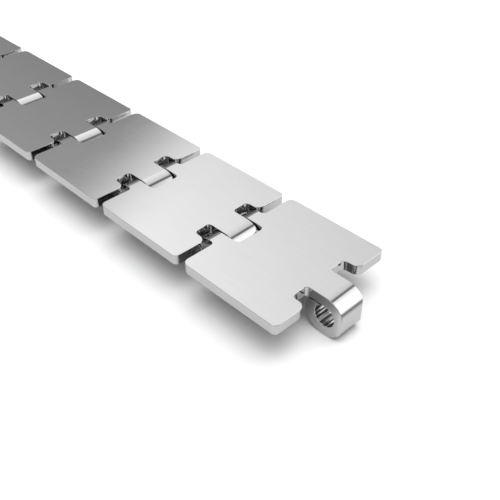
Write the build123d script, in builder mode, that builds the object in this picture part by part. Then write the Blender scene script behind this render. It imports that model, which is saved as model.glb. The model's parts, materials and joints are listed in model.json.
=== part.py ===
from build123d import *
import os
from math import sqrt

# A run of flat top conveyor chain, lying flat with its carrying face up, in millimetres.
# X runs along the chain towards its free centre eye, Y runs across it and Z is up.
# Z = 0 is the surface that the rolled eyes lie on, and X = 0 is the middle of the run.

# Chain
link_count = 11
pitch = 38.1

# Link plate: flat, one piece of sheet whose eyes are rolled from the same sheet
plate_width = 43.4
plate_thickness = 3.3
front_corner_radius = 1.5
rear_corner_radius = 2.0
front_edge_setback = 1.45

# Hinge pin, carried by the two outer eyes and free to turn in the centre eye
pin_diameter = 6.35
running_clearance = 0.075
pin_projection = 0.3

# Rolled eyes
centre_eye_width = 9.4
outer_eye_width = 4.85
eye_side_clearance = 0.35
seam_gap = 0.3

# Front of the centre eye: pressed flat, with its two upright corners taken off
eye_flat_depth = 1.0
eye_corner_cut = 0.65

# Cut-outs that the eyes of the next link turn in
notch_side_clearance = 0.55
notch_end_clearance = 0.65
recess_end_clearance = 0.4
tongue_root_radius = 1.2
notch_corner_radius = 1.6
notch_mouth_radius = 2.4

# Roots of the outer eyes, which end on the flat before the sheet begins to curl
outer_eye_root_radius = 1.3
flat_before_curl = 0.05

# Sizes that follow from those above
pin_radius = pin_diameter / 2
bore_radius = pin_radius + running_clearance
eye_radius = bore_radius + plate_thickness
axis_height = eye_radius
plate_underside = axis_height + bore_radius
eye_flat = eye_radius - eye_flat_depth
seam_height = plate_underside - seam_gap
rear_edge_setback = outer_eye_root_radius + flat_before_curl
half_width = plate_width / 2
half_centre_eye = centre_eye_width / 2
outer_eye_inner_side = half_centre_eye + eye_side_clearance
outer_eye_outer_side = outer_eye_inner_side + outer_eye_width
notch_side = outer_eye_outer_side + notch_side_clearance
pin_half_length = outer_eye_outer_side + pin_projection


def reach_beside_plate(clearance):
    """How far from the hinge axis a plate edge must end to clear a turning eye beside it."""
    return sqrt((eye_radius + clearance) ** 2 - bore_radius**2)


# Places along one link, measured from its front hinge axis
rear_axis = -pitch
front_edge = -front_edge_setback
rear_edge = rear_axis + rear_edge_setback
notch_end = -reach_beside_plate(notch_end_clearance)
recess_end = rear_axis + reach_beside_plate(recess_end_clearance)


def sheet_outline():
    """The flat sheet seen from above, out to the lines where its eyes begin to curl."""
    side_corners = [
        (0, half_centre_eye),
        (notch_end, half_centre_eye),
        (notch_end, notch_side),
        (front_edge, notch_side),
        (front_edge, half_width),
        (rear_edge, half_width),
        (rear_edge, outer_eye_outer_side),
        (rear_axis, outer_eye_outer_side),
    ]
    side_radii = [
        tongue_root_radius,
        notch_corner_radius,
        notch_mouth_radius,
        front_corner_radius,
        rear_corner_radius,
        outer_eye_root_radius,
    ]
    recess_corners = [
        (rear_axis, outer_eye_inner_side),
        (recess_end, outer_eye_inner_side),
        (recess_end, -outer_eye_inner_side),
        (rear_axis, -outer_eye_inner_side),
    ]
    with BuildSketch(Plane.XY.offset(plate_underside)) as outline:
        with BuildLine():
            FilletPolyline(*side_corners, radius=side_radii)
            Line((rear_axis, outer_eye_outer_side), (rear_axis, outer_eye_inner_side))
            mirror(about=Plane.XZ)
            Polyline(*recess_corners)
            Line((0, half_centre_eye), (0, -half_centre_eye))
        make_face()
    return outline.sketch


def eye_profile(axis_x, way):
    """The rolled sheet seen from the side, with its end level under the plate.

    The end comes back under the plate behind the axis, on the side away from where way points.
    """
    above_seam = 2 * eye_radius - seam_height
    with BuildSketch(Plane.XZ) as profile:
        with Locations((axis_x, axis_height)):
            Circle(eye_radius)
            Circle(bore_radius, mode=Mode.SUBTRACT)
        with Locations((axis_x - way * eye_radius / 2, seam_height + above_seam / 2)):
            Rectangle(eye_radius, above_seam, mode=Mode.SUBTRACT)
    return profile.sketch


def make_link_plate():
    """One link plate, with its front hinge axis over X = 0."""
    middle_of_outer_eye = outer_eye_inner_side + outer_eye_width / 2
    with BuildPart() as plate:
        extrude(sheet_outline(), amount=plate_thickness)
        add(make_centre_eye())
        with Locations((0, middle_of_outer_eye, 0), (0, -middle_of_outer_eye, 0)):
            add(make_outer_eye())
    return plate.part


def make_centre_eye():
    """The front eye over X = 0, round but for the flat that faces forward."""
    front_corner = half_centre_eye - eye_corner_cut
    seen_from_above = [
        (-eye_radius, -half_centre_eye),
        (eye_flat - eye_corner_cut, -half_centre_eye),
        (eye_flat, -front_corner),
        (eye_flat, front_corner),
        (eye_flat - eye_corner_cut, half_centre_eye),
        (-eye_radius, half_centre_eye),
    ]
    with BuildPart() as eye:
        extrude(eye_profile(0, way=1), amount=half_centre_eye, both=True)
        with BuildSketch(Plane.XY):
            with BuildLine():
                Polyline(*seen_from_above, close=True)
            make_face()
        extrude(amount=2 * eye_radius, mode=Mode.INTERSECT)
    return eye.part


def make_outer_eye():
    """One rear eye, centred across its own width."""
    with BuildPart() as eye:
        extrude(eye_profile(rear_axis, way=-1), amount=outer_eye_width / 2, both=True)
    return eye.part


def make_hinge_pin():
    """One hinge pin, lying across the chain over X = 0."""
    with BuildPart() as pin:
        with BuildSketch(Plane.XZ):
            with Locations((0, axis_height)):
                Circle(pin_radius)
        extrude(amount=pin_half_length, both=True)
    return pin.part


def export_piece(shape, name, axis_x):
    """Puts a copy of the shape at its hinge axis and writes it as one named piece."""
    with BuildPart() as piece:
        with Locations((axis_x, 0, 0)):
            add(shape)
    piece.part.label = name
    export_step(piece.part, f"parts/{name}.step")


os.makedirs("parts", exist_ok=True)
link_plate = make_link_plate()
hinge_pin = make_hinge_pin()
front_axis = (link_count * pitch + eye_flat_depth) / 2

for number in range(1, link_count + 1):
    export_piece(link_plate, f"link_plate_{number:02d}", front_axis - (number - 1) * pitch)

for number in range(1, link_count):
    export_piece(hinge_pin, f"hinge_pin_{number:02d}", front_axis - number * pitch)
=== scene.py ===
"""A run of polished steel flat top chain on a white studio floor."""
import json
from math import acos, cos, degrees, pi, radians, sin, sqrt

import bpy
from mathutils import Matrix, Vector


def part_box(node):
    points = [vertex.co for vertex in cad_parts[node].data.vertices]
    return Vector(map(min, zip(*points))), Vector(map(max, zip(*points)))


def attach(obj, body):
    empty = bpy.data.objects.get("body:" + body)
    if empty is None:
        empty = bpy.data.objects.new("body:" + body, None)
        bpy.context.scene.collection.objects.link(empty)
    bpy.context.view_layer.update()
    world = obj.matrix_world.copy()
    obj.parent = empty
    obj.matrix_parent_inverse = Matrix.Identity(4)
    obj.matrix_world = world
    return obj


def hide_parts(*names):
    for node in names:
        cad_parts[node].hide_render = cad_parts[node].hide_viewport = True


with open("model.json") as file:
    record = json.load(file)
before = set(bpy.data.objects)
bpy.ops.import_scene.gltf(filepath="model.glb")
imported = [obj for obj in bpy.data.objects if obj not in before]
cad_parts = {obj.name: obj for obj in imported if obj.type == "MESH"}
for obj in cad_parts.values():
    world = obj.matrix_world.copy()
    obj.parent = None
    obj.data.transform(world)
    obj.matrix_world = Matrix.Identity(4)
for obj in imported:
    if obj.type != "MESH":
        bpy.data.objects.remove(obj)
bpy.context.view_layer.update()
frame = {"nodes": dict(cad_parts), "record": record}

# Sizes of the chain in millimetres, as the solids have them
mm = 0.001
pitch = 38.1
half_width = 21.7
plate_thickness = 3.3
front_corner_radius = 1.5
rear_corner_radius = 2.0
tongue_root_radius = 1.2
notch_corner_radius = 1.6
notch_mouth_radius = 2.4
notch_side = 10.45
notch_end_clearance = 0.65
recess_end_clearance = 0.4
outer_eye_root_radius = 1.3
flat_before_curl = 0.05
bore_radius = 3.25
eye_radius = bore_radius + plate_thickness
axis_height = eye_radius
half_centre_eye = 4.7
outer_eye_inner_side = 5.05
outer_eye_outer_side = 9.9
eye_flat_depth = 1.0
eye_corner_cut = 0.65
seam_gap = 0.3
pin_radius = 3.175
pin_projection = 0.3
pin_half_length = outer_eye_outer_side + pin_projection

# Places along one link, measured from its front hinge axis
front_edge = -1.45
rear_axis = -pitch
rear_edge = rear_axis + outer_eye_root_radius + flat_before_curl
notch_end = -sqrt((eye_radius + notch_end_clearance) ** 2 - bore_radius**2)
recess_end = rear_axis + sqrt((eye_radius + recess_end_clearance) ** 2 - bore_radius**2)

# Reach of the pressed flat and of its upright corners from the axis of the centre eye
eye_flat = eye_radius - eye_flat_depth
eye_corner_start = eye_flat - eye_corner_cut

# Finish of the edges in millimetres
top_chamfer = 0.1
chamfer_ease = 0.02
chamfer_slope = 0.7 * chamfer_ease
bore_edge_radius = 0.3
recess_corner_radius = 1.5
press_softness = 0.8
pin_chamfer = 0.35
pin_chamfer_ease = 0.1
pin_end_dip = 0.02
pin_side_dip = 0.05
pin_side_rise = 0.03

# How finely the sheet and the pins are divided, with angles in degrees from the top of an eye
corner_steps = 8
edge_steps = 4
eye_step = 4.0
pressed_step = 1.5
pressed_from = 44
pressed_to = 136
least_forward = 0.3
seam_start = 290.0
seam_steps = 10
steps_round_pin = 64

# Patterns of the steel: how often they repeat in a metre, how they are drawn out, the noise at which
# smears and the painted glints of the bores set in, and depths in metres
cloud_scale = 70
grain_scale = 900
smear_scale = 160
wave_scale = 35
streak_scale = 1500
smear_stretch = (1, 0.4, 1)
streak_stretch = (1, 0.02, 1)
smear_start = (0.52, 0.72)
painted_glint_start = (0.42, 0.6)
grain_depth = 0.000004
wave_depth = 0.00004
streak_depth = 0.0002

# How much the patterns change the tone and the roughness of the steel
cloud_tone = 0.03
grain_tone = 0.05
# The bores' tone carries painted shade and painted bright glints that stand in for reflections
painted_glint_tone = 1.35
painted_bore_shade = 0.75
cloud_dulling = 0.03
grain_dulling = 0.03
smear_dulling = 0.02

# Tones of the studio, as the steel mirrors them. A sloping tone is given straight up, with its
# change towards the front and towards the left, and with the least and the most that it may be.
wall_slope, wall_limits = (0.69, -0.08, -0.28), (0.36, 0.6)
ceiling_slope, ceiling_limits = (1.17, -1.06, -0.27), (0.75, 1.5)
ceiling_twist = 0.42
dim_side_tone = 0.45
bright_side_tone = 1.7
side_shoulder_share = 0.8
gap_tone = 0.15
flag_tone = 0.3
low_tone = 0.39
low_tone_behind = 0.09
mirroring_loss = 0.4
free_mirrorings = 2
most_losses = 2

# Soft edges in the studio, each from where it begins to where it is full, in slopes from straight up.
# A tilted edge moves to the rear by a share of the slope to the left, counted from a level.
studio_cos, studio_sin = 0.956, 0.293
least_height = 0.02
ceiling_start, ceiling_tilt = (-1.13, -0.84), (0.15, 1.1)
side_start, side_tilt = (0.3, 0.45), (0.3, 0.58)
side_shoulder = (0.4, 0.75)
side_brightening = (0.36, 0.54)
gap_start = (0.06, 0.24)
flag_rear, flag_front = (-1.05, -0.95), (1.0, 1.2)
flag_right, flag_left = (-0.97, -0.87), (-0.3, -0.15)

# Where the studio ends above the floor, in parts of a direction's length
behind_start = (0.45, 0.75)
horizon_start = (0.08, 0.17)
horizon_lift_behind = 0.14
front_left_start = (1.1, 1.3)

# Dome that lights the floor: its tone straight up, its fall towards the sides and its lean forward
dome_tone = 4.53
dome_fall = 3
dome_narrowing = 2
dome_lean = 0.4

# Tones of the floor for the camera and for the steel that mirrors it, a painted pale reflection ahead,
# and how much darker the painted dark reflections and the painted shade under the chain make it
floor_white = 0.85
floor_mirrored = 0.66
floor_ahead_mirrored = 0.78
away_darkening = 0.7
painted_patch_darkening = 0.66
shade_darkening = 0.7

# Floor in metres: the chain's footprint, and the soft edges of the painted shade and painted reflections
# that the steel mirrors round it
footprint_half_length = 0.216
footprint_half_width = 0.022
away_start = (0.012, 0.09)
painted_patch_start = (0.005, 0.0125)
ahead_start = (0.022, 0.045)
shaded_half_width = 0.0185
shaded_side_fade = 0.006
shaded_front = 0.19
shaded_front_fade = 0.02
floor_reach = 4.0

# The frame's pieces of the chain, and the axis of its front eye
link_names = sorted(name for name in frame["nodes"] if name.startswith("link_plate"))
pin_names = sorted(name for name in frame["nodes"] if name.startswith("hinge_pin"))
chain_front_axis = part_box(link_names[0])[0].x / mm + eye_radius + pitch


class Value:
    """A number that changes over a surface or a shape, which Python's own signs work on."""

    def __init__(self, tree, socket):
        self.tree = tree
        self.socket = socket

    def work(self, operation, *values):
        """What one Math node makes of the values."""
        node = add_node(self.tree, "ShaderNodeMath", {"operation": operation}, values)
        return Value(self.tree, node.outputs[0])

    def __add__(self, other):
        return self.work("ADD", self, other)

    def __radd__(self, other):
        return self.work("ADD", other, self)

    def __sub__(self, other):
        return self.work("SUBTRACT", self, other)

    def __rsub__(self, other):
        return self.work("SUBTRACT", other, self)

    def __mul__(self, other):
        return self.work("MULTIPLY", self, other)

    def __rmul__(self, other):
        return self.work("MULTIPLY", other, self)

    def __truediv__(self, other):
        return self.work("DIVIDE", self, other)

    def __neg__(self):
        return self.work("MULTIPLY", self, -1)

    def above(self, limit):
        return self.work("MAXIMUM", self, limit)

    def below(self, limit):
        return self.work("MINIMUM", self, limit)

    def sine(self):
        return self.work("SINE", self)

    def cosine(self):
        return self.work("COSINE", self)

    def fraction(self):
        return self.work("FRACT", self)

    def power(self, exponent):
        return self.work("POWER", self, exponent)

    def size(self):
        return self.work("ABSOLUTE", self)

    def rise(self, start, end):
        """0 before start, 1 after end and a soft step between."""
        settings = {"interpolation_type": "SMOOTHSTEP"}
        inputs = {"Value": self, "From Min": start, "From Max": end}
        node = add_node(self.tree, "ShaderNodeMapRange", settings, inputs)
        return Value(self.tree, node.outputs["Result"])


def add_node(tree, kind, settings=None, inputs=None):
    """Adds one node, sets it up and fills or links its sockets, named or in order."""
    node = tree.nodes.new(kind)
    for name, setting in (settings or {}).items():
        setattr(node, name, setting)
    pairs = inputs.items() if isinstance(inputs, dict) else enumerate(inputs or ())
    for name, value in pairs:
        value = value.socket if isinstance(value, Value) else value
        if isinstance(value, bpy.types.NodeSocket):
            tree.links.new(value, node.inputs[name])
        else:
            node.inputs[name].default_value = value
    return node


def split(tree, vector):
    """The three numbers of a vector."""
    node = add_node(tree, "ShaderNodeSeparateXYZ", None, [vector])
    return [Value(tree, output) for output in node.outputs]


def blend(one, other, share):
    """From one tone to the other as the share goes from 0 to 1."""
    return one * (1 - share) + other * share


def grey(tree, tone):
    """A colour with the same tone in its red, green and blue."""
    return add_node(tree, "ShaderNodeCombineColor", None, [tone, tone, tone]).outputs[0]


# Sheet blank

def edge_section():
    """How far in and how high each loop of the sheet's edge lies, from the underside up."""
    turns = [pi / 2 * step / edge_steps for step in range(edge_steps + 1)]
    lower = [(bore_edge_radius * (1 - sin(a)), bore_edge_radius * (1 - cos(a))) for a in turns]
    drops = [
        (0, top_chamfer + chamfer_ease),
        (chamfer_slope, top_chamfer - chamfer_slope),
        (top_chamfer / 2, top_chamfer / 2),
        (top_chamfer - chamfer_slope, chamfer_slope),
        (top_chamfer + chamfer_ease, 0),
    ]
    return lower + [(inset, plate_thickness - drop) for inset, drop in drops]


def rounded_run(corners, radii, inset):
    """A run of the sheet's edge, moved inward to its left and rounded at its corners."""
    points = [Vector(corner) for corner in corners]
    ways = [(b - a).normalized() for a, b in zip(points, points[1:])]
    lefts = [Vector((-way.y, way.x)) for way in ways]
    run = [points[0] + lefts[0] * inset]
    for number, radius in enumerate(radii):
        way, left = ways[number], lefts[number]
        turn = 1 if way.cross(ways[number + 1]) > 0 else -1
        moved = points[number + 1] + (left + lefts[number + 1]) * inset
        turned = radius - turn * inset
        centre = moved - way * turned + left * turned * turn
        for step in range(corner_steps + 1):
            swing = Matrix.Rotation(turn * pi / 2 * step / corner_steps, 2)
            run.append(centre - swing @ (left * turned * turn))
    run.append(points[-1] + lefts[-1] * inset)
    return run


def sheet_runs(inset):
    """The runs of edge between the tongue and the two ears: one side, the recess, the other side."""
    side = [
        (0, half_centre_eye),
        (notch_end, half_centre_eye),
        (notch_end, notch_side),
        (front_edge, notch_side),
        (front_edge, half_width),
        (rear_edge, half_width),
        (rear_edge, outer_eye_outer_side),
        (rear_axis, outer_eye_outer_side),
    ]
    side_radii = [
        tongue_root_radius,
        notch_corner_radius,
        notch_mouth_radius,
        front_corner_radius,
        rear_corner_radius,
        outer_eye_root_radius,
    ]
    recess = [
        (rear_axis, outer_eye_inner_side),
        (recess_end, outer_eye_inner_side),
        (recess_end, -outer_eye_inner_side),
        (rear_axis, -outer_eye_inner_side),
    ]
    one_side = rounded_run(side, side_radii, inset)
    inner = rounded_run(recess, [recess_corner_radius] * 2, inset)
    other_side = [Vector((p.x, -p.y)) for p in reversed(one_side)]
    return one_side, inner, other_side


def turns_of_eye(pressed):
    """The angles from the top of an eye at which its rolled sheet is divided, in degrees."""
    angles = []
    angle = 0.0
    while angle < seam_start:
        near_flat = pressed and pressed_from <= angle < pressed_to
        angle += pressed_step if near_flat else eye_step
        angles.append(min(angle, seam_start))
    return angles


def seam_turn(reach, inset):
    """The angle at which the eye's level end cuts the sheet, this far from the axis."""
    return 360 - degrees(acos((bore_radius - seam_gap) / reach)) - degrees(inset / reach)


def soft_minimum(a, b, softness):
    """The smaller of two numbers, eased where they are close."""
    ease = max(softness - abs(a - b), 0) / softness
    return min(a, b) - ease * ease * softness / 4


def pressed_rim(angle):
    """The outer edge of the pressed eye at one angle, as half widths and distances from its axis."""
    forward = sin(radians(angle))
    flat_reach = eye_flat / forward if forward > least_forward else 2 * eye_radius
    corner_reach = eye_corner_start / forward if forward > least_forward else 2 * eye_radius
    outer = soft_minimum(eye_radius, flat_reach, press_softness)
    taken_off = max(outer * forward - eye_corner_start, 0)
    start = Vector((half_centre_eye, min(corner_reach, outer - top_chamfer)))
    end = Vector((half_centre_eye - max(taken_off, top_chamfer), outer))
    slope = chamfer_slope / (end - start).length
    rim = [start.lerp(end, share) for share in (0, slope, 0.5, 1 - slope, 1)]
    rim[0].y -= chamfer_ease
    rim[-1].x -= chamfer_ease
    return rim


def eye_strip(first, second, way, pressed):
    """The two sides of a strip that is rolled into an eye, as loops of points in the flat sheet."""
    section = edge_section()
    angles = [(angle, 0) for angle in turns_of_eye(pressed)]
    angles += [(seam_start, (step + 1) / seam_steps) for step in range(seam_steps)]
    sides = []
    for side in (first, second):
        rows = []
        for angle, share in angles:
            row = []
            rim = pressed_rim(angle) if pressed else None
            for loop, (inset, height) in enumerate(section):
                toward_middle = inset * (1 if side == min(first, second) else -1)
                across = side + toward_middle
                if pressed and loop > edge_steps:
                    half, reach = rim[loop - edge_steps - 1]
                    across = half if side > 0 else -half
                    height = reach - bore_radius
                turned = angle + share * (seam_turn(bore_radius + height, inset) - angle)
                row.append(Vector((way * radians(turned), across, height)))
            rows.append(row)
        sides.append(rows)
    return sides


def band_faces(rings, count):
    """Four-sided faces between closed rings of points that follow each other."""
    faces = []
    for ring in range(rings - 1):
        low, high = ring * count, (ring + 1) * count
        for step in range(count):
            after = (step + 1) % count
            faces.append([low + step, low + after, high + after, high + step])
    return faces


def strip_side(rows, loop, hinge_line):
    """The points of one loop along one side of a rolled strip, set at its hinge line."""
    return [Vector((hinge_line + row[loop].x, row[loop].y, row[loop].z)) for row in rows]


def make_blank():
    """The cut sheet, flat, with its front hinge line at X = 0 and its underside at Z = 0.

    Along the tongue and the ears X runs on in radians beyond the hinge line, for the roll to take up.
    """
    section = edge_section()
    hinge_lines = [rear_axis, rear_axis, 0]
    strips = [
        (outer_eye_outer_side, outer_eye_inner_side, -1, False),
        (-outer_eye_inner_side, -outer_eye_outer_side, -1, False),
        (-half_centre_eye, half_centre_eye, 1, True),
    ]
    rolled = [eye_strip(*strip) for strip in strips]
    loops = []
    starts = {}
    for loop, (inset, height) in enumerate(section):
        ring = []
        for part, (run, (one, other)) in enumerate(zip(sheet_runs(inset), rolled)):
            starts["run", part] = len(ring)
            ring += [Vector((p.x, p.y, height)) for p in run]
            starts["one", part] = len(ring)
            ring += strip_side(one, loop, hinge_lines[part])
            starts["other", part] = len(ring)
            ring += strip_side(reversed(other), loop, hinge_lines[part])
        loops.append(ring)
    count = len(loops[0])
    starts["run", len(strips)] = count
    flat = []
    patches = [flat]
    for part in range(len(strips)):
        flat += range(starts["run", part], starts["one", part])
        one = range(starts["one", part] - 1, starts["other", part])
        back = range(starts["run", part + 1], starts["other", part] - 1, -1)
        other = [point % count for point in back]
        for row in range(len(one) - 1):
            patches.append([one[row], one[row + 1], other[row + 1], other[row]])
    faces = band_faces(len(section), count)
    top = (len(section) - 1) * count
    for patch in patches:
        faces.append([top + point for point in patch])
        faces.append(list(reversed(patch)))
    return make_mesh("sheet blank", [point for ring in loops for point in ring], faces)


def make_mesh(name, points, faces):
    """A smooth-shaded mesh from points in millimetres."""
    mesh = bpy.data.meshes.new(name)
    mesh.from_pydata([tuple(point) for point in points], [], faces)
    mesh.polygons.foreach_set("use_smooth", [True] * len(mesh.polygons))
    mesh.validate()
    return mesh


def make_pin_blank():
    """A hinge pin with chamfered ends, lying across the chain over the origin."""
    end = [
        (pin_radius - pin_chamfer - pin_chamfer_ease, pin_half_length),
        (pin_radius - pin_chamfer, pin_half_length - pin_end_dip),
        (pin_radius - pin_side_dip, pin_half_length - pin_chamfer + pin_side_rise),
        (pin_radius, pin_half_length - pin_chamfer - pin_chamfer_ease),
    ]
    profile = end + [(radius, -place) for radius, place in reversed(end)]
    points = []
    for radius, place in profile:
        for step in range(steps_round_pin):
            turn = 2 * pi * step / steps_round_pin
            points.append((radius * sin(turn), place, radius * cos(turn)))
    faces = band_faces(len(profile), steps_round_pin)
    faces.append(list(reversed(range(steps_round_pin))))
    faces.append(range(len(points) - steps_round_pin, len(points)))
    return make_mesh("pin blank", points, faces)


# Shaping in Geometry Nodes

def shape_tree(name, sizes):
    """A Geometry Nodes tree with a shape, named sizes and a material as its inputs."""
    tree = bpy.data.node_groups.new(name, "GeometryNodeTree")
    tree.interface.new_socket(name="Geometry", in_out="INPUT", socket_type="NodeSocketGeometry")
    for size in sizes:
        tree.interface.new_socket(name=size, in_out="INPUT", socket_type="NodeSocketFloat")
    tree.interface.new_socket(name="Finish", in_out="INPUT", socket_type="NodeSocketMaterial")
    tree.interface.new_socket(name="Geometry", in_out="OUTPUT", socket_type="NodeSocketGeometry")
    source = tree.nodes.new("NodeGroupInput")
    position = add_node(tree, "GeometryNodeInputPosition").outputs[0]
    return tree, source, [Value(tree, source.outputs[size]) for size in sizes], split(tree, position)


def end_tree(tree, source, x, y, z):
    """Puts every point at its new place in metres and ends the tree."""
    place = add_node(tree, "ShaderNodeCombineXYZ", None, [x * mm, y * mm, z * mm]).outputs[0]
    inputs = {"Geometry": source.outputs["Geometry"], "Position": place}
    moved = add_node(tree, "GeometryNodeSetPosition", None, inputs)
    real = add_node(tree, "GeometryNodeRealizeInstances", None, [moved.outputs[0]])
    finish = {"Geometry": real.outputs[0], "Material": source.outputs["Finish"]}
    finished = add_node(tree, "GeometryNodeSetMaterial", None, finish)
    add_node(tree, "NodeGroupOutput", None, [finished.outputs[0]])
    return tree


def roll_tree():
    """Rolls the sheet's tongue and ears down round their hinge axes."""
    names = ["Front axis", "Pitch", "Axis height", "Bore radius"]
    tree, source, sizes, (x, y, z) = shape_tree("Roll the sheet ends", names)
    front_axis, link_pitch, height, bore = sizes
    front_turn = x.above(0)
    rear_turn = (-link_pitch - x).above(0)
    reach = bore + z
    along = x.below(0).above(-link_pitch) + reach * (front_turn.sine() - rear_turn.sine())
    up = height + reach * (front_turn + rear_turn).cosine()
    return end_tree(tree, source, front_axis + along, y, up)


def pin_tree():
    """Lays a pin in its hinge."""
    names = ["Hinge axis", "Axis height"]
    tree, source, (axis, height), (x, y, z) = shape_tree("Lay the pin in its hinge", names)
    return end_tree(tree, source, x + axis, y, z + height)


def finished_piece(name, blank, tree, sizes, material):
    """The blank put through its tree, as a plain mesh."""
    piece = bpy.data.objects.new(name, blank)
    bpy.context.scene.collection.objects.link(piece)
    shaping = piece.modifiers.new("shaping", "NODES")
    shaping.node_group = tree
    for item in tree.interface.items_tree:
        if item.in_out == "INPUT" and item.name in sizes:
            shaping[item.identifier] = float(sizes[item.name])
        if item.in_out == "INPUT" and item.name == "Finish":
            shaping[item.identifier] = material
    shading = piece.modifiers.new("shading", "WEIGHTED_NORMAL")
    shading.keep_sharp = True
    graph = bpy.context.evaluated_depsgraph_get()
    shaped = piece.evaluated_get(graph)
    mesh = bpy.data.meshes.new_from_object(shaped, preserve_all_data_layers=True, depsgraph=graph)
    mesh.name = name
    piece.modifiers.clear()
    piece.data = mesh
    return piece


# Finishes

def new_material(name):
    """A material with an empty tree."""
    material = bpy.data.materials.new(name)
    material.use_nodes = True
    material.node_tree.nodes.clear()
    return material, material.node_tree


def noise(tree, place, scale, detail=3.0, stretch=(1, 1, 1)):
    """Soft noise between about 0 and 1, drawn out where its share along X, Y or Z is under 1."""
    scales = [scale * share for share in stretch]
    scaled = add_node(tree, "ShaderNodeMapping", None, {"Vector": place, "Scale": scales})
    inputs = {"Vector": scaled.outputs[0], "Scale": 1.0, "Detail": detail}
    node = add_node(tree, "ShaderNodeTexNoise", None, inputs)
    return Value(tree, node.outputs["Fac"])


def bump(tree, height, depth, strength, before=None):
    """The surface's normal, tilted by a height on top of a bump before it."""
    inputs = {"Strength": strength, "Distance": depth, "Height": height}
    if before:
        inputs["Normal"] = before
    return add_node(tree, "ShaderNodeBump", None, inputs).outputs[0]


def inside_bore(tree, place):
    """1 on the inner surface of the rolled eyes and 0 elsewhere.

    Pitches are counted from far behind the run, so that every count is above zero.
    """
    x, _, z = split(tree, place)
    pitches_behind = 100
    skin_start, skin_end = 0.05, 0.25
    pitches = (x / mm - chain_front_axis) / pitch + (pitches_behind + 0.5)
    along = (pitches.fraction() - 0.5) * pitch
    up = z / mm - axis_height
    from_axis = (along * along + up * up).power(0.5)
    return 1 - from_axis.rise(bore_radius + skin_start, bore_radius + skin_end)


def steel(name, shade, roughness, grain_way):
    """Bright steel: clouding, fine grain, a few dull smears, slight waves and grooved bores, which carry
    painted shade and a streaked painted reflection.
    """
    material, tree = new_material(name)
    place = add_node(tree, "ShaderNodeTexCoord").outputs["Object"]
    clouds = noise(tree, place, cloud_scale)
    grain = noise(tree, place, grain_scale, detail=2.0, stretch=grain_way)
    smears = noise(tree, place, smear_scale, detail=4.0, stretch=smear_stretch).rise(*smear_start)
    waves = noise(tree, place, wave_scale, detail=1.0)
    grooves_and_painted_glints = noise(tree, place, streak_scale, detail=2.0, stretch=streak_stretch)
    bore = inside_bore(tree, place)
    tone = shade * (1 + cloud_tone * (clouds - 0.5) + grain_tone * (grain - 0.5))
    # Painted shade inside the bores, broken by painted bright glints that stand in for reflections
    tone = tone * (1 + bore * (painted_glint_tone * grooves_and_painted_glints.rise(*painted_glint_start) - painted_bore_shade))
    rough = roughness + cloud_dulling * (clouds - 0.5) + grain_dulling * (grain - 0.5)
    rough = rough + smear_dulling * smears
    fine = bump(tree, grain, grain_depth, strength=0.2)
    wavy = bump(tree, waves, wave_depth, strength=0.25, before=fine)
    grooved = bump(tree, (grooves_and_painted_glints - 0.5) * bore, streak_depth, strength=1.0, before=wavy)
    inputs = {"Base Color": grey(tree, tone), "Metallic": 1.0, "Roughness": rough, "Normal": grooved}
    surface = add_node(tree, "ShaderNodeBsdfPrincipled", None, inputs)
    add_node(tree, "ShaderNodeOutputMaterial", None, [surface.outputs[0]])
    return material


# Studio

def ray_kinds(tree):
    """Whether a ray comes from the camera or a mirror, and the light left to it after many mirrorings."""
    path = add_node(tree, "ShaderNodeLightPath")
    camera = Value(tree, path.outputs["Is Camera Ray"])
    glossy = Value(tree, path.outputs["Is Glossy Ray"])
    depth = Value(tree, path.outputs["Glossy Depth"])
    losses = (depth - free_mirrorings).above(0).below(most_losses)
    return camera, glossy, 1 - mirroring_loss * losses


def sloping(forward, leftward, slope):
    """A tone that changes evenly to the front and to the left."""
    straight_up, to_front, to_left = slope
    return straight_up + to_front * forward + to_left * leftward


def tilted(forward, leftward, tilt):
    """The slope forward, as a tilted edge counts it."""
    share, level = tilt
    return forward + share * (leftward - level)


def overhead_tone(forward, leftward):
    """What the steel mirrors from above, by how far a direction leans to the front and to the left.

    From the rear to the front it is a wall, a bright ceiling, a dark gap and a lit side, which dims
    towards the right. A grey flag hangs to the right of the ceiling.
    """
    least_wall, most_wall = wall_limits
    least_ceiling, most_ceiling = ceiling_limits
    wall = sloping(forward, leftward, wall_slope).above(least_wall).below(most_wall)
    ceiling = sloping(forward, leftward, ceiling_slope) + ceiling_twist * forward * leftward
    ceiling = ceiling.above(least_ceiling).below(most_ceiling)
    ceiling_share = tilted(forward, leftward, ceiling_tilt).rise(*ceiling_start)
    lit_side = blend(dim_side_tone, bright_side_tone, leftward.rise(*side_brightening))
    lit_side = lit_side * blend(side_shoulder_share, 1, forward.rise(*side_shoulder))
    side_share = tilted(forward, leftward, side_tilt).rise(*side_start)
    gap = forward.rise(*gap_start) * (1 - side_share)
    flag = leftward.rise(*flag_right) * (1 - leftward.rise(*flag_left))
    flag = flag * forward.rise(*flag_rear) * (1 - forward.rise(*flag_front))
    tone = wall * (1 - ceiling_share) + ceiling * ceiling_share * (1 - side_share)
    tone = tone + lit_side * side_share
    return blend(blend(tone, gap_tone, gap), flag_tone, flag)


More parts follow.
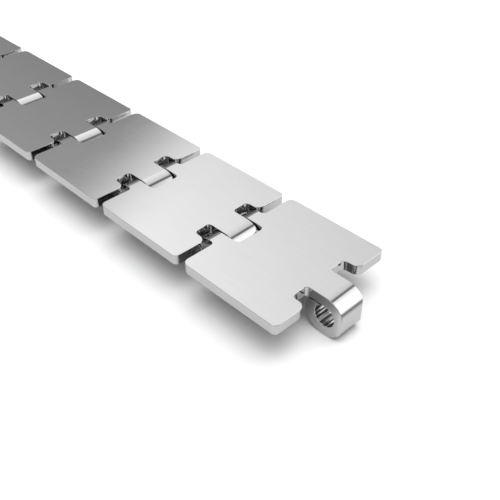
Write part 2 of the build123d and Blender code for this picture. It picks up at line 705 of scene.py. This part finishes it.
def light_studio():
    """Soft boxes and walls for the steel to mirror, a dome that lights the floor, and plain white."""
    world = bpy.data.worlds.new("studio")
    bpy.context.scene.world = world
    world.use_nodes = True
    tree = world.node_tree
    tree.nodes.clear()
    x, y, z = split(tree, add_node(tree, "ShaderNodeTexCoord").outputs["Generated"])
    height = z.above(least_height)
    forward = (studio_cos * x + studio_sin * y) / height
    leftward = (studio_cos * y - studio_sin * x) / height
    behind = (-x).rise(*behind_start)
    low = blend(low_tone, low_tone_behind, behind)
    horizon = (z - horizon_lift_behind * behind).rise(*horizon_start)
    horizon = horizon.above((x + y).rise(*front_left_start))
    camera, glossy, light_left = ray_kinds(tree)
    mirrored = blend(low, overhead_tone(forward, leftward), horizon) * light_left
    dome = dome_tone * z.above(0).power(dome_fall) * (1 + dome_lean * x)
    dome = dome * (1 - x * x).power(dome_narrowing)
    tone = mirrored * glossy + dome * (1 - glossy) * (1 - camera) + camera
    background = add_node(tree, "ShaderNodeBackground", None, [grey(tree, tone), 1.0])
    add_node(tree, "ShaderNodeOutputWorld", None, [background.outputs[0]])


def lay_floor():
    """A white floor that keeps the chain's shadow.

    The steel mirrors it darker than the camera sees it, with painted darker reflections further off and
    on a patch just ahead of the chain, painted shade under the chain, and a painted pale reflection well
    ahead.
    """
    mesh = bpy.data.meshes.new("floor")
    corners = [(-floor_reach, -floor_reach, 0), (floor_reach, -floor_reach, 0)]
    corners += [(floor_reach, floor_reach, 0), (-floor_reach, floor_reach, 0)]
    mesh.from_pydata(corners, [], [(0, 1, 2, 3)])
    floor = bpy.data.objects.new("floor", mesh)
    bpy.context.scene.collection.objects.link(floor)
    material, tree = new_material("floor white")
    x, y, _ = split(tree, add_node(tree, "ShaderNodeTexCoord").outputs["Object"])
    past_end = (x.size() - footprint_half_length).above(0)
    past_side = (y.size() - footprint_half_width).above(0)
    away = (past_end * past_end + past_side * past_side).power(0.5)
    ahead = x - footprint_half_length
    # Painted dark reflection on a patch just ahead of the chain, and a painted pale reflection well ahead
    painted_dark_patch = ahead.rise(*painted_patch_start)
    painted_pale_reflection = ahead.rise(*ahead_start)
    # Painted shade under the chain, for the steel to mirror
    under = (shaded_half_width - y.size()).rise(0, shaded_side_fade)
    under = under * (shaded_front - x).rise(0, shaded_front_fade)
    camera, glossy, light_left = ray_kinds(tree)
    mirrored = floor_mirrored * (1 - away_darkening * away.rise(*away_start))
    mirrored = mirrored * (1 - painted_patch_darkening * painted_dark_patch) * (1 - painted_pale_reflection) * (1 - shade_darkening * under)
    mirrored = (mirrored + floor_ahead_mirrored * painted_pale_reflection) * light_left
    tone = mirrored * glossy + floor_mirrored * (1 - glossy) * (1 - camera) + floor_white * camera
    inputs = {"Base Color": grey(tree, tone), "Roughness": 1.0, "Specular IOR Level": 0.0}
    surface = add_node(tree, "ShaderNodeBsdfPrincipled", None, inputs)
    add_node(tree, "ShaderNodeOutputMaterial", None, [surface.outputs[0]])
    mesh.materials.append(material)


def place_camera():
    """The camera at the photograph's viewing angle."""
    azimuth, elevation = radians(-44.41), radians(38.78)
    place = (0.29506, -0.11505, 0.13959)
    back = Vector((cos(elevation) * cos(azimuth), cos(elevation) * sin(azimuth), sin(elevation)))
    right = Vector((-sin(azimuth), cos(azimuth), 0))
    up = back.cross(right)
    lens = bpy.data.cameras.new("camera")
    lens.sensor_width = 36.0
    lens.lens = 52.50
    lens.clip_start = 0.005
    camera = bpy.data.objects.new("camera", lens)
    turn = Matrix((right, up, back)).transposed().to_4x4()
    camera.matrix_world = Matrix.Translation(place) @ turn
    bpy.context.scene.collection.objects.link(camera)
    bpy.context.scene.camera = camera


def body_of(node):
    """The body that a node of the frame rides on."""
    for body, nodes in frame["record"]["behaviour"]["bodies"].items():
        if node in nodes:
            return body


def dress_chain():
    """Replaces every plate and pin by its finished piece."""
    sheet_steel = steel("polished sheet steel", shade=0.6, roughness=0.1, grain_way=(0.12, 1, 1))
    pin_steel = steel("ground pin steel", shade=0.56, roughness=0.16, grain_way=(1, 0.15, 1))
    blank = make_blank()
    roll = roll_tree()
    for node in link_names:
        front_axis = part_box(node)[0].x / mm + eye_radius + pitch
        sizes = {"Front axis": front_axis, "Pitch": pitch}
        sizes.update({"Axis height": axis_height, "Bore radius": bore_radius})
        piece = finished_piece("finished_" + node, blank, roll, sizes, sheet_steel)
        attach(piece, body_of(node))
        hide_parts(node)
    blank = make_pin_blank()
    lay = pin_tree()
    for node in pin_names:
        low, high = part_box(node)
        sizes = {"Hinge axis": (low.x + high.x) / 2 / mm, "Axis height": axis_height}
        piece = finished_piece("finished_" + node, blank, lay, sizes, pin_steel)
        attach(piece, body_of(node))
        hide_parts(node)


place_camera()
dress_chain()
lay_floor()
light_studio()

bpy.context.scene.view_settings.view_transform = "Standard"
